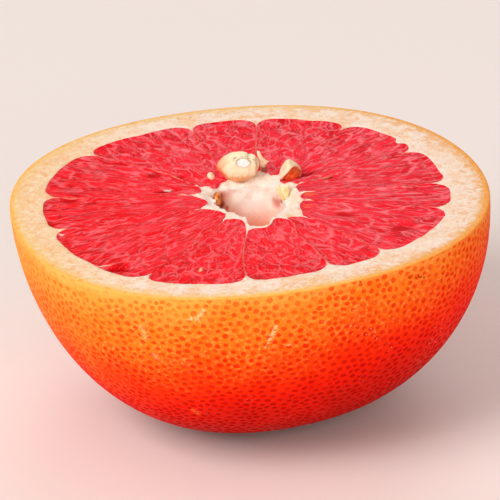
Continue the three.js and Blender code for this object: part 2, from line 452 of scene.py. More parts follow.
def zestMaterial():
    # citrus zest: waxy skin over oil glands; the eye gets dark dots in a paler net, redder and darker below
    # and to the right, partly blush and partly painted shade
    material, put = newMaterial("citrusZest")
    where = millimetres(put)
    apart = put("ShaderNodeSeparateXYZ", {0: where}).outputs
    level = put("divide", apart[2], faceLevel)
    wander = put("noise", where, 1 / 16, 2)
    # lower down and further right the skin turns darker red: partly blush, partly painted shade
    side = put("multiply", apart[0], skinLook["blushAndShadeRight"])
    tall = put("add", level, sway(put, wander, 0.3))
    ripenessAndShade = put("multiply", put("subtract", tall, side), 0.9)
    layers = {}
    for key in ("net", "gland"):
        stops = [(place, linear(code)) for place, code in zip(skinLook["stops"], skinLook[key])]
        layers[key] = put("ShaderNodeValToRGB", {0: ripenessAndShade}, stops=stops).outputs[0]
    mottle = put("noise", where, 1 / 0.8, 3, 0.65)
    below = put("subtract", faceLevel, apart[2])
    creamy = put("add", below, sway(put, wander, -5.0))
    leftward = put("fade", apart[0], -20, -40)
    creamy = put("multiply", put("fade", creamy, 0.0, 2.6, 1, 0), put("fade", leftward, 0, 1, 0.2, 0.7))
    layers["net"] = put("blend", creamy, layers["net"], skinLook["nearCut"])
    patchy = put("noise", where, 1 / 1.7, 3, 0.6)
    layers["net"] = put(
        "blend", put("multiply", put("fade", patchy, 0.5, 0.66, 0, 0.6), put("fade", ripenessAndShade, 0.6, 0.8)),
        layers["net"],
        skinLook["stain"],
    )
    pale = put("multiply", put("fade", mottle, 0.47, 0.68, 0, 0.5), put("fade", ripenessAndShade, 0.42, 0.72))
    layers["net"] = put("blend", pale, layers["net"], skinLook["pale"])
    dots = put("add", put("attribute", attribute_name="gland"), sway(put, mottle, 0.5))
    faint = put("noise", where, 1 / 4.5, 2)
    dots = put("multiply", put("fade", dots, 0.15, 0.9), put("fade", faint, 0.3, 0.62, 0.45, 1.0))
    start = put("fade", apart[0], -12, -45, 0.0, 2.6)  # the dots start lower on the left
    dots = put("multiply", dots, put("fade", put("subtract", below, start), 0.0, 0.8))
    skin = put("blend", dots, layers["net"], layers["gland"])
    grey = put("noise", where, 1 / 0.5, 3, 0.65)
    patch = put("fade", put("noise", where, 1 / 11, 2), 0.56, 0.68)
    scuffs = put("multiply", put("fade", grey, 0.62, 0.72, 0, 0.75), patch)
    skin = put("blend", scuffs, skin, skinLook["scuff"])
    for start, end, halfWidth, colour in skinLook["marks"]:
        near = alongMark(put, where, start, end)
        uneven = sway(put, grey, halfWidth * 9)
        mark = put("fade", put("add", near, uneven), halfWidth * 0.4, halfWidth * 1.3, 0.75, 0)
        skin = put("blend", mark, skin, colour)
    # the cut edge: orange outside, cream where the pith starts, with cut glands as orange ovals
    cut = put("attribute", attribute_name="cut")
    uneven = put("add", cut, sway(put, patchy, 2.2))
    edge = put("blend", put("fade", uneven, 0.1, 1.0), skinLook["cutOuter"], skinLook["cutInner"])
    rightward = put("multiply", put("fade", apart[0], 5, 45), put("fade", mottle, 0.35, 0.6, 0.3, 0.9))
    edge = put("blend", rightward, edge, skinLook["cutRight"])
    ovals = put("ShaderNodeTexVoronoi", {"Vector": where, "Scale": 1 / 2.4})
    oval = put("fade", ovals.outputs[0], 0.2, 0.34, 0.55, 0)
    edge = put("blend", oval, edge, skinLook["cutGland"])
    colour = put("blend", put("fade", cut, 0.0, 0.12), skin, edge)
    grain = put("add", put("noise", where, 1 / 0.35, 2), put("multiply", dots, -0.5))
    surface(
        put,
        colour,
        grain,
        0.06,
        Roughness=0.46,
        Subsurface_Weight=0.08,
        Subsurface_Scale=0.001,
        Specular_IOR_Level=0.035,
    )
    return material


pithLook = dict(
    cream="#ffe5d2",
    creamLeft="#fed6a8",
    warm="#fcc594",
    fleck="#f0994c",
    rim="#fdcd86",
    rimRight="#f7a650",
    stain="#f8b06a",
    light="#fff1e2",
    dusk="#f5b784",
    # the colour at the floor of the core, its darkness partly painted shade
    rib="#fc7464",
    deep="#f68a64",
    wall="#fff6ea",
    star="#ffe5d4",
    blush="#fab08e",
)


def pithMaterial():
    # citrus pith: spongy, dry and matt; the eye gets soft cream with tan flecks and yellow at the rim
    material, put = newMaterial("spongyPith")
    where = millimetres(put)
    apart = put("ShaderNodeSeparateXYZ", {0: where}).outputs
    cloud = put("noise", where, 1 / 5, 4, 0.6)
    # yellower on the left and whiter towards the right; the whiter right is partly painted light that makes
    # up for less lamp light there
    cream = put("blend", put("fade", apart[0], -22, -44), pithLook["cream"], pithLook["creamLeft"])
    warmth = put("multiply", put("fade", cloud, 0.42, 0.66), put("fade", apart[0], 10, 45, 0.8, 0.5))
    colour = put("blend", warmth, cream, pithLook["warm"])
    rim = put("attribute", attribute_name="rim")  # 1 against the zest
    fleck = put("noise", where, 1 / 1.5, 4, 0.7)
    sparse = put("noise", where, 1 / 7, 2)
    often = put("add", fleck, sway(put, sparse, 0.25))
    often = put("add", often, put("multiply", rim, 0.07))
    colour = put("blend", put("fade", often, 0.57, 0.68, 0, 0.6), colour, pithLook["fleck"])
    stains = put("noise", where, 1 / 2.4, 2, 0.5)
    stains = put("add", stains, put("multiply", rim, 0.12))
    colour = put("blend", put("fade", stains, 0.62, 0.7, 0, 0.6), colour, pithLook["stain"])
    # the zest's colour runs into the pith in short streaks towards the middle
    level = put("ShaderNodeCombineXYZ", {0: apart[0], 1: apart[1]}).outputs[0]
    along = put("multiply", put("vector length", level), 0.25)
    along = put("ShaderNodeCombineXYZ", {2: along}).outputs[0]
    streak = put("vector multiply_add", put("vector normalize", level), (45, 45, 0), along)
    streaks = put("noise", streak, 1.0, 3.0)
    ragged = sway(put, cloud, 1.1)
    ragged = put("add", ragged, sway(put, streaks, 1.1))
    wide = put("fade", apart[0], 10, -40, 0.0, 0.1)  # the yellow reaches further in on the left
    band = put("fade", put("add", put("add", rim, ragged), wide), 0.45, 1.0)
    band = put("maximum", put("multiply", band, 0.8), put("fade", rim, 0.85, 1.0))
    zestward = put("blend", put("fade", apart[0], 5, 45, 0, 0.85), pithLook["rim"], pithLook["rimRight"])
    colour = put("blend", band, colour, zestward)
    freckle = put("noise", where, 1 / 1.1, 4, 0.75)
    colour = put("blend", put("fade", freckle, 0.52, 0.62, 0, 0.5), colour, pithLook["light"])
    colour = put("blend", put("fade", freckle, 0.47, 0.37, 0, 0.5), colour, pithLook["dusk"])
    rib = put("attribute", attribute_name="rib")  # 1 on the membranes
    colour = put("blend", rib, colour, pithLook["rib"])
    hollow = put("attribute", attribute_name="hollow")  # 1 on the wall of the core
    # darker and pinker towards the floor of the core: partly painted shade
    depth = put("fade", apart[2], faceLevel - 11.5, faceLevel - 4.0)
    wall = put("blend", depth, pithLook["deep"], pithLook["wall"])
    blotch = put("noise", where, 1 / 2.6, 3, 0.6)
    flank = put("absolute", put("subtract", apart[0], 1.5))
    flushed = put("multiply", put("fade", flank, 2, 7), put("fade", apart[2], faceLevel - 1, faceLevel - 3))
    flushed = put("add", put("multiply", flushed, 0.4), put("fade", blotch, 0.5, 0.75, 0, 0.25))
    wall = put("blend", flushed, wall, pithLook["blush"])
    wall = put("blend", put("fade", apart[2], faceLevel - 1.6, faceLevel - 0.5), wall, pithLook["star"])
    colour = put("blend", hollow, colour, wall)
    colour = withPaint(put, colour)
    sponge = put("add", put("noise", where, 1 / 0.6, 3, 0.6), put("noise", where, 1 / 0.22, 2))
    surface(
        put,
        colour,
        sponge,
        0.14,
        Roughness=0.6,
        Subsurface_Weight=0.2,
        Subsurface_Scale=0.002,
        Specular_IOR_Level=0.25,
    )
    return material


# how often the sacs bend and how far, along and across, in their own lengths and widths
vesicle = dict(bendEvery=(1.4, 0.7, 1.0), bendBy=(0.5, 1.8, 0.0), uneven=0.95)


def vesiclePattern(put, cells):
    # juice sacs as stretched, wavy cells: their warped places, the distance to a wall, a random colour
    bend = {"Vector": put("vector multiply", cells, vesicle["bendEvery"]), "Scale": 1.0, "Detail": 2.0}
    bend = put("ShaderNodeTexNoise", bend).outputs["Color"]
    warped = put("vector multiply_add", bend, vesicle["bendBy"], cells)
    inputs = {"Vector": warped, "Scale": 1.0, "Randomness": vesicle["uneven"]}
    walls = put("ShaderNodeTexVoronoi", inputs, feature="DISTANCE_TO_EDGE").outputs[0]
    return warped, walls, put("ShaderNodeTexVoronoi", inputs).outputs["Color"]


fleshLook = dict(
    bright="#ff1620",
    rich="#f60e18",
    dark="#c4040c",
    pale="#ff3444",
    pink="#fb2c48",
    wall="#ff8088",
    wallWidth=(0.05, 0.11),  # the thinnest and the widest, as a share of a sac
    threads=((1.2, 0.03, 0.85), (2.4, 0.035, 0.65)),  # how close, how thin, how strong
)


def fleshMaterial():
    # cut juice sacs: wet, clear red; the eye gets glossy red cells between thin pink threads
    material, put = newMaterial("juiceSacs")
    where = millimetres(put)
    cells = put("ShaderNodeAttribute", attribute_name="cellMap").outputs["Vector"]
    warped, walls, random = vesiclePattern(put, cells)
    apart = put("ShaderNodeSeparateXYZ", {0: random}).outputs
    cloud = put("noise", where, 1 / 6, 3)
    base = put("blend", put("fade", apart[0], 0.2, 0.9), fleshLook["rich"], fleshLook["bright"])
    base = put("blend", put("fade", cloud, 0.42, 0.72, 0, 0.6), base, fleshLook["pale"])
    spot = put("ShaderNodeSeparateXYZ", {0: where}).outputs
    pinker = put("fade", put("add", spot[0], spot[1]), -45, 35)  # towards the back and the right
    base = put("blend", put("multiply", pinker, 0.4), base, fleshLook["pink"])
    lighter = put("fade", pinker, 0, 1, 0.65, 1.0)
    base = put("blend", put("fade", apart[1], 0.72, 0.95, 0, 0.3), base, fleshLook["dark"])
    # the outer ends of the segments are deeper in colour, in patches
    patches = put("noise", where, 1 / 3.2, 3, 0.6)
    patches = put("fade", patches, 0.45, 0.62, 0, 0.65)
    outer = put("multiply", put("attribute", attribute_name="outer"), patches)
    base = put("blend", outer, base, fleshLook["dark"])
    # the walls of the sacs, uneven in width and strength
    strength = put("noise", where, 1 / 3.0, 2)
    width = put("fade", strength, 0.3, 0.7, *fleshLook["wallWidth"])
    line = put("subtract", 1.0, put("divide", walls, width), use_clamp=True)
    line = put("multiply", line, put("fade", strength, 0.35, 0.6, 0.25, 0.95))
    line = put("multiply", line, lighter)
    # threads of pulp: thin wavy lines where stretched noise crosses its middle
    relief = line
    for size, thin, most in fleshLook["threads"]:
        stretched = put("vector multiply", warped, (size * 0.6, size, 1.0))
        wave = put("noise", stretched, 1.0, 3.0, 0.55)
        off = put("absolute", put("subtract", wave, 0.5))
        thread = put("multiply", put("fade", off, 0.0, thin, most, 0), lighter)
        thread = put("multiply", thread, put("fade", strength, 0.6, 0.42, 0.1, 1.0))
        relief = put("add", relief, thread)
        base = put("blend", put("fade", wave, 0.4, 0.3, 0, 0.45), base, fleshLook["dark"])
        base = put("blend", thread, base, fleshLook["wall"])
    base = put("blend", line, base, fleshLook["wall"])
    base = withPaint(put, base)
    surface(
        put,
        base,
        relief,
        0.11,
        Roughness=0.28,
        Subsurface_Weight=0.1,
        Subsurface_Radius=(1.0, 0.2, 0.2),
        Subsurface_Scale=0.001,
        Specular_IOR_Level=0.012,
    )
    return material


seedLook = dict(
    # the colour of each coat and of its shaded patches
    creamSeedCoat=("#fee1be", "#f8c795"),
    yellowSeedCoat=("#fbe0a4", "#f6c67c"),
    brownSeedCoat=("#ea8f45", "#bf5a22"),
)


def seedMaterial(name):
    # seed coat: papery and a little moist; the eye gets cream with faint tan wrinkles
    cream, shade = seedLook[name]
    material, put = newMaterial(name)
    where = millimetres(put)
    cloud = put("noise", where, 1 / 2.0, 3, 0.6)
    colour = put("blend", put("fade", cloud, 0.45, 0.78, 0, 0.7), cream, shade)
    colour = withPaint(put, colour)
    wrinkle = put("noise", where, 1 / 0.5, 3, 0.6)
    surface(
        put,
        colour,
        wrinkle,
        0.06,
        Roughness=0.45,
        Subsurface_Weight=0.15,
        Subsurface_Scale=0.0012,
        Specular_IOR_Level=0.35,
    )
    return material


zest, pith, flesh = zestMaterial(), pithMaterial(), fleshMaterial()
creamCoat, yellowCoat, brownCoat = (seedMaterial(name) for name in seedLook)
print("materials made")

# the skin: oil glands grown over a ball, laid on the fruit's form, and cut at the face

skin = dict(
    glandGap=1.48,
    glandRadius=0.86,
    glandCore=0.56,
    glandSizes=(0.78, 1.16),  # the smallest and the largest, as a share of the radius
    dimple=0.17,
    density=5000.0,  # enough points for the gap to decide
    edge=0.4,  # how far under the face the rounded cut edge starts
    rim=(
        # across the zest as a share, how far under the face in millimetres, how much it shows as cut
        (0.08, 0.2, 0.05),
        (0.28, 0.06, 0.25),
        (0.65, 0.02, 0.6),
        (1.0, 0.0, 1.0),
    ),
    innerRings=9,
    seed=7,
)


def glandTree():
    sizes = ("Gland gap", "Gland radius", "Gland core", "Dimple")
    tree, put, given = startTree("oilGlands", {**dict.fromkeys(sizes, "Float"), "Seed": "Int"})
    scattered = put(
        "GeometryNodeDistributePointsOnFaces",
        {"Mesh": given[0], "Distance Min": given[1], "Density Max": skin["density"], "Seed": given[5]},
        distribute_method="POISSON",
    )
    position = put("GeometryNodeInputPosition").outputs[0]
    unit = put("vector normalize", position)
    ball = put("GeometryNodeSetPosition", {"Geometry": scattered.outputs[0], "Position": unit})
    hull = put("GeometryNodeConvexHull", {0: ball.outputs[0]})
    cells = put("GeometryNodeDualMesh", {0: hull.outputs[0]})
    # each cell remembers its middle and a random size before it is inset
    inputs = {2: skin["glandSizes"][0], 3: skin["glandSizes"][1], "Seed": given[5]}
    size = put("FunctionNodeRandomValue", inputs, data_type="FLOAT").outputs[1]
    kept = put("GeometryNodeCaptureAttribute", {0: cells.outputs[0]}, domain="FACE")
    kept.capture_items.new("VECTOR", "Middle")
    kept.capture_items.new("FLOAT", "Size")
    tree.links.new(position, kept.inputs[1])
    tree.links.new(size, kept.inputs[2])
    geometry, middle, share = kept.outputs[0], kept.outputs[1], kept.outputs[2]
    top = None
    for radius, depth in ((given[2], 0.0), (given[3], given[4])):
        inputs = {"Mesh": geometry, "Offset Scale": 0.0, "Individual": True}
        if top is not None:
            inputs["Selection"] = top
        pushed = put("GeometryNodeExtrudeMesh", inputs, mode="FACES")
        top = pushed.outputs["Top"]
        spoke = put("vector subtract", position, middle)
        shrink = put("divide", put("multiply", radius, share), put("vector length", spoke))
        inset = put("vector scale", spoke, put("minimum", shrink, 0.82))
        placed = put("vector add", middle, inset)
        sunk = put("vector scale", placed, put("subtract", 1.0, depth))
        inputs = {"Geometry": pushed.outputs[0], "Selection": top, "Position": sunk}
        geometry = put("GeometryNodeSetPosition", inputs).outputs[0]
    inputs = {"Geometry": geometry, "Name": "gland", "Value": top}
    marked = put("GeometryNodeStoreNamedAttribute", inputs, data_type="FLOAT", domain="POINT")
    endTree(put, marked.outputs[0], zest)
    return tree


def layOnBody(mesh):
    # the ball's points go to the fruit's form, and their depth under the ball goes inwards
    count = len(mesh.vertices)
    points = np.empty(count * 3)
    mesh.vertices.foreach_get("co", points)
    points = points.reshape(-1, 3)
    length = np.linalg.norm(points, axis=1)
    angle = np.arctan2(points[:, 1], points[:, 0])
    steepness = np.arccos(np.clip(-points[:, 2] / length, -1, 1))
    depth = (length - 1) * fruit["radius"]
    placed = bodyPoint(angle, steepness) + bodyNormal(angle, steepness) * depth[:, None]
    mesh.vertices.foreach_set("co", ((placed + faceCentre) * mm).ravel())


def closeRim(bm):
    # from the cut edge inwards across the zest, then down behind it to close the shell
    cut = bm.verts.layers.float.new("cut")
    loop = [e for e in bm.edges if e.is_boundary]
    centre = faceCentre * mm
    rings = [(across, below, value, 0.0) for across, below, value in skin["rim"]]
    rings += [(1.0, 0.0, 1.0, k / skin["innerRings"]) for k in range(1, skin["innerRings"])]
    for across, below, value, down in rings:
        grown = bmesh.ops.extrude_edge_only(bm, edges=loop)["geom"]
        loop = [g for g in grown if isinstance(g, bmesh.types.BMEdge)]
        for vert in [g for g in grown if isinstance(g, bmesh.types.BMVert)]:
            angle = math.atan2(vert.co.y - centre[1], vert.co.x - centre[0])
            steepness = turn / 4 * (1 - down)
            place = bodyPoint(angle, steepness, across * fruit["zest"])
            if not down:
                place[2] = faceLevel - below
            vert.co = Vector(((place + faceCentre) * mm).tolist())
            vert[cut] = value
        loop = [e for e in loop if e.is_boundary]
    bmesh.ops.holes_fill(bm, edges=loop, sides=0)


def makeSkin():
    mesh = bpy.data.meshes.new("zest_skin")
    bm = bmesh.new()
    bmesh.ops.create_icosphere(bm, subdivisions=5, radius=1.0)
    bm.to_mesh(mesh)
    bm.free()
    piece = bpy.data.objects.new("zest_skin", mesh)
    scene.collection.objects.link(piece)
    unit = 1 / fruit["radius"]
    grown(
        piece,
        glandTree(),
        {
            "Gland gap": skin["glandGap"] * unit,
            "Gland radius": skin["glandRadius"] * unit,
            "Gland core": skin["glandCore"] * unit,
            "Dimple": skin["dimple"] * unit,
            "Seed": skin["seed"],
        },
    )
    layOnBody(piece.data)
    bm = bmesh.new()
    bm.from_mesh(piece.data)
    bmesh.ops.bisect_plane(
        bm,
        geom=bm.verts[:] + bm.edges[:] + bm.faces[:],
        dist=1e-6,
        plane_co=(0, 0, (faceLevel - skin["edge"]) * mm),
        plane_no=(0, 0, 1),
        clear_outer=True,
    )
    closeRim(bm)
    bm.to_mesh(piece.data)
    bm.free()
    piece.data.polygons.foreach_set("use_smooth", [True] * len(piece.data.polygons))
    tidyNormals(piece, 60)
    return piece


skinPiece = makeSkin()
print("skin", len(skinPiece.data.polygons), "faces")

# the cut face: thirteen beds of flesh between membranes, round a torn open core

face = dict(
    membranes=(3, 30, 58, 86, 106, 140, 172, 197, 240, 269, 293, 311, 345),
    # where each membrane leaves the star of pith: radius, angle
    tips=(
        (13.4, 5),
        (13.6, 28),
        (14.6, 58),
        (15.2, 85),
        (12.6, 106),
        (13.4, 144),
        (12.9, 166),
        (11.5, 205),
        (12.9, 245.5),
        (18.6, 269),
        (15.6, 303.5),
        (17.4, 315),
        (13.2, 346),
    ),
    # the inner end of each bed, from its far side back to its near side
    noses=(
        ((12.4, 24), (12.0, 19), (12.3, 11)),
        ((12.0, 50), (11.7, 46), (12.9, 36)),
        ((14.7, 80), (15.3, 76), (13.7, 68), (13.5, 64)),
        ((11.9, 100), (11.9, 95), (13.2, 90)),
        ((10.8, 135), (10.8, 128), (11.6, 119)),
        ((11.7, 160), (11.7, 152)),
        ((9.9, 196), (9.1, 188), (9.9, 178)),
        ((9.9, 240), (9.5, 228), (10.0, 215)),
        ((14.2, 266.5), (12.4, 262), (12.0, 255)),
        ((13.8, 296), (14.1, 286), (16.4, 279)),
        ((16.2, 311), (15.4, 307)),
        ((13.0, 340), (13.4, 332), (15.5, 322)),
        ((12.4, 360), (12.2, 353)),
    ),
    bends=(0.3, -0.8, 0.5, -0.6, 0.6, -1.0, 0.5, -0.9, 1.3, -1.0, 1.4, 1.1, 0.2),
    ribWidth=0.34,
    corner=4.2,
    bedDepth=2.4,
    outerRings=12,  # from the rim down to the resting pole
    dents=((37.5, 1.7, 1.6), (70, 0.5, 3), (121, 0.6, 4), (222, 0.5, 5), (12, 0.4, 3)),
    edgeStep=0.36,  # between the points of a bed's outline
    rimStep=0.6,  # and of the rim's
    spacing=0.45,  # between the points of the pith
    seed=11,
    waver=0.22,
)
hollow = dict(
    centre=(0.5, -2.5),
    reaches=(
        (18, 8.2),
        (60, 11.4),
        (93, 10.6),
        (124, 11.0),
        (156, 8.6),
        (180, 7.6),
        (212, 7.1),
        (243, 7.1),
        (262, 8.6),
        (270, 13.8),
        (281, 14.2),
        (300, 10.6),
        (325, 8.2),
    ),
    depth=13.8,
    rings=48,
    ragged=0.3,
    edgeStep=0.34,
    softLip=(1.3, 2.3),  # how deep and how wide the rounded lip is where it isn't torn
)


def membraneAngle(membrane, radius):
    # a membrane swings from the star's tip to its own direction within 10 mm
    angle, (tip, tipAngle) = face["membranes"][membrane], face["tips"][membrane]
    return math.radians(angle + (tipAngle - angle) * (1 - eased(radius, tip, tip + 10)))


def wallPoint(membrane, radius, side):
    # a point beside a membrane, half a rib from its bent and wavering middle line
    angle = membraneAngle(membrane, radius)
    inner = face["tips"][membrane][0]
    outer = fleshRadius(math.radians(face["membranes"][membrane]))
    along = (radius - inner) / (outer - inner)
    bow = face["bends"][membrane] * math.sin(math.pi * along)
    waver = noise.noise(Vector((radius * 0.35, membrane * 7.0, 0.0))) * math.sin(math.pi * along)
    offset = bow + 2 * face["waver"] * waver + side * face["ribWidth"] / 2
    return np.array(
        [
            radius * math.cos(angle) - offset * math.sin(angle),
            radius * math.sin(angle) + offset * math.cos(angle),
        ]
    )


def curveBetween(start, control, end, count):
    share = np.linspace(0, 1, count)[:, None]
    return (1 - share) ** 2 * start + 2 * share * (1 - share) * control + share**2 * end


def curveThrough(points, count):
    # a smooth line through the points, count steps between each two
    points = np.asarray(points)
    padded = np.concatenate([points[:1], points, points[-1:]])
    share = np.linspace(0, 1, count, endpoint=False)[:, None]
    made = []
    for a, b, c, d in zip(padded, padded[1:], padded[2:], padded[3:]):
        bend = 2 * a - 5 * b + 4 * c - d
        made.append(b + 0.5 * share * ((c - a) + share * (bend + share * (3 * (b - c) + d - a))))
    return np.concatenate(made)


def segmentOutline(i):
    following = (i + 1) % len(face["membranes"])
    first = math.radians(face["membranes"][i])
    last = math.radians(face["membranes"][following])
    last = last if last > first else last + turn
    outerFirst, outerLast = fleshRadius(first), fleshRadius(last)
    corner = min(face["corner"], 0.3 * (last - first) * outerFirst)
    arc = np.linspace(first + corner / outerFirst, last - corner / outerLast, 60)
    radii = fleshRadius(arc)
    for centre, depth, width in face["dents"]:
        away = np.degrees(arc) - centre
        radii = radii - depth * np.exp(-((away / width) ** 2))
    waves = [noise.noise(Vector((9 * math.cos(a), 9 * math.sin(a), 1.0))) for a in arc]
    radii = radii + face["waver"] * np.array(waves)
    outer = np.stack([radii * np.cos(arc), radii * np.sin(arc)], -1)
    tipFirst, tipLast = face["tips"][i][0], face["tips"][following][0]
    up = [wallPoint(i, r, 1) for r in np.linspace(tipFirst, outerFirst - corner, 50)]
    down = [wallPoint(following, r, -1) for r in np.linspace(outerLast - corner, tipLast, 50)]
    nose = [(r * math.cos(math.radians(a)), r * math.sin(math.radians(a))) for r, a in face["noses"][i]]
    nose = curveThrough([down[-1], *nose, up[0]], 12)[1:]
    pieces = [
        up,
        curveBetween(up[-1], wallPoint(i, outerFirst - 0.5, 1), outer[0], 12)[1:-1],
        outer,
        curveBetween(outer[-1], wallPoint(following, outerLast - 0.5, -1), down[0], 12)[1:-1],
        down,
        nose,
    ]
    return resampled(np.concatenate([np.asarray(p) for p in pieces]), face["edgeStep"])


def hollowOutline():
    angles = np.linspace(0, turn, 720, endpoint=False)
    reach = reachAt(hollow["reaches"], angles)
    for k, angle in enumerate(angles):
        place = Vector((math.cos(angle), math.sin(angle), 0.0))
        torn = noise.noise(place * 5.0) + 0.7 * noise.noise(place * 14.0)
        ragged = hollow["ragged"] * (2.4 if 190 < math.degrees(angle) < 330 else 0.6)
        reach[k] += ragged * torn
    points = np.stack([reach * np.cos(angles), reach * np.sin(angles)], -1)
    return resampled(points + np.array(hollow["centre"]), hollow["edgeStep"])


segments = [segmentOutline(i) for i in range(len(face["membranes"]))]
hollowLoop = hollowOutline()


def rimLoop():
    angles = np.linspace(0, turn, 900, endpoint=False)
    radii = (fruit["radius"] - fruit["zest"]) * outline(angles)
    return resampled(np.stack([radii * np.cos(angles), radii * np.sin(angles)], -1), face["rimStep"])


coreSpots = dict(
    # marked places on the core: middle, size, how far the wall is pushed in, how dark, colour
    tan=((-3.5, 6.5, -7.0), (3.0, 3.0, 2.2), 0.0, 0.35, "#f39a80"),
    flush=((-5.8, 5.2, -3.0), (2.8, 3.6, 3.6), 0.1, 0.6, "#ea7058"),
    # slot and slotEnd: dark red round the left wall seed, partly the cavity's own red and partly painted
    # shade in its recess
    slot=((-5.9, 4.9, -2.7), (1.5, 2.7, 2.6), 0.3, 1.0, "#981408"),
    slotEnd=((-5.7, 6.3, -4.5), (1.0, 1.5, 1.2), 0.4, 0.95, "#8c180c"),
    drip=((-4.7, 6.9, -5.5), (0.7, 1.5, 0.9), 0.1, 0.8, "#c03a20"),
    dent=((6.7, 6.4, -4.9), (1.5, 2.0, 1.4), 0.6, 0.85, "#d87868"),
    dentEdge=((6.0, 6.6, -4.3), (0.4, 1.6, 0.8), 0.2, 0.6, "#b04c40"),
    pin=((7.9, 5.6, -4.0), (0.6, 1.2, 0.5), 0.4, 1.0, "#80100e"),
    streak=((8.5, 4.6, -4.9), (0.4, 1.5, 1.1), 0.0, 0.6, "#cc7264"),
    yellowLeft=((-9.7, -0.9, 0.0), (0.9, 0.7, 1.5), 0.0, 0.95, "#f8c060"),
    orangeRight=((11.4, 7.4, 0.0), (1.1, 0.9, 1.5), 0.0, 0.9, "#f6a650"),
    yellowFront=((9.4, -12.0, 0.0), (1.6, 0.7, 1.5), 0.0, 0.85, "#f9c074"),
    peachRight=((10.8, -2.0, 0.0), (1.0, 3.4, 2.0), 0.0, 0.5, "#fdd9a4"),
)
# where seeds sit in the pith: x, y, size, depth
pits = ((8.0, 2.9, 2.0, 1.7), (-6.3, 4.0, 1.3, 1.6), (-1.7, 11.0, 3.6, 0.3))


def clippedBeds():
    # a bed ends where the open core begins
    beds = []
    centre = np.array(hollow["centre"])
    for loop in segments:
        away = loop - centre
        angle = np.arctan2(away[:, 1], away[:, 0])
        distance = np.linalg.norm(away, axis=1)
        least = reachAt(hollow["reaches"], angle) + 1.0
        scale = np.maximum(1.0, least / distance)
        beds.append(resampled(centre + away * scale[:, None], face["edgeStep"]))
    return beds


def levelOfPith(points, beds, rimward):
    # the pith's own relief: soft edges at the beds, a rounded or torn lip at the core, low membranes
    toBeds = distanceTo(points, beds)
    toHollow = distanceTo(points, [hollowLoop])
    radius = np.linalg.norm(points, axis=1)
    angle = np.arctan2(points[:, 1], points[:, 0])
    rib = np.zeros(len(points))
    steps = np.arange(0, 60, 0.5)
    for k, (tip, _) in enumerate(face["tips"]):
        line = np.array([math.degrees(membraneAngle(k, r)) for r in steps])
        near = np.interp(radius, steps, line)
        apart = np.abs((np.degrees(angle) - near + 180) % 360 - 180)
        rib = np.where(apart < 6, np.maximum(rib, np.clip((radius - tip - 0.4) / 2.2, 0, 1)), rib)
    rib = rib * np.clip((fleshRadius(angle) - 1.6 - radius) / 3, 0, 1) * np.clip((1.2 - toBeds) / 0.5, 0, 1)
    away = points - np.array(hollow["centre"])
    around = np.degrees(np.arctan2(away[:, 1], away[:, 0])) % 360
    torn = eased(around, 165, 200) * (1 - eased(around, 300, 335))
    deep, wide = hollow["softLip"]
    level = -0.16 * np.exp(-((toBeds / 0.3) ** 2))
    level -= (1 - torn) * deep * np.exp(-((toHollow / wide) ** 2))
    level -= torn * 0.12 * np.exp(-((toHollow / 0.5) ** 2))
    level -= 0.15 * rib
    for x, y, size, depth in pits:
        level -= depth * np.exp(-(((points - np.array([x, y])) / size) ** 2).sum(1))
    nearCore = 1 - eased(radius, 15, 20)
    calm = 1 - rimward
    for k, (x, y) in enumerate(points):
        soft = noise.noise(Vector((x, y, 3.0)) * 0.22)
        lump = noise.noise(Vector((x, y, 5.0)) * 0.55)
        fine = noise.noise(Vector((x, y, 9.0)) * 1.3)
        loose = nearCore[k] * (1 - 0.6 * torn[k])
        rough = (0.1 + 0.5 * loose) * lump + (0.06 + 0.14 * nearCore[k] + 0.15 * rib[k]) * fine
        level[k] += calm[k] * (0.08 * soft + rough)
    return faceLevel + np.minimum(level, 0.3), rib, toHollow, torn


def coreWell(top):
    # rings from the lip down the core's wall to its rounded floor; the torn edge smooths out below
    centre = np.array(hollow["centre"])
    away = hollowLoop - centre
    angles = np.arctan2(away[:, 1], away[:, 0])
    smooth = np.stack([np.cos(angles), np.sin(angles)], -1) * reachAt(hollow["reaches"], angles)[:, None]
    rings = [np.concatenate([hollowLoop, top[:, None]], 1)]
    for k in range(1, hollow["rings"] + 1):
        steep = k / hollow["rings"] * turn / 4
        share = max(math.cos(steep) ** 0.75, 0.02)
        keep = math.exp(-((7.3 * k / hollow["rings"]) ** 2))
        flat = centre + (smooth + (away - smooth) * keep) * share
        bottom = faceLevel - hollow["depth"]
        level = top + (bottom - top) * math.sin(steep) ** 1.1
        dents = [0.35 * noise.noise(Vector((x, y, z)) * 0.45) for (x, y), z in zip(flat, level)]
        flat = flat + np.array(dents)[:, None] * away / np.linalg.norm(away, axis=1, keepdims=True)
        rings.append(np.concatenate([flat, level[:, None]], 1))
    return np.array(rings)


def stainCore(points, move=1.0):
    # pushes the marked spots of the core's wall outwards and paints them
    paint = np.zeros((len(points), 4))
    away = points[:, :2] - np.array(hollow["centre"])
    outward = away / np.maximum(np.linalg.norm(away, axis=1, keepdims=True), 1e-6)
    for middle, size, push, dark, code in coreSpots.values():
        place = np.array([middle[0], middle[1], faceLevel + middle[2]])
        near = np.exp(-(((points - place) / np.array(size)) ** 2).sum(1) * 1.6)
        points[:, :2] += outward * (near * push * move)[:, None]
        paintOver(paint, code, dark * np.clip(near * 1.6 - 0.2, 0, 1))
    return paint


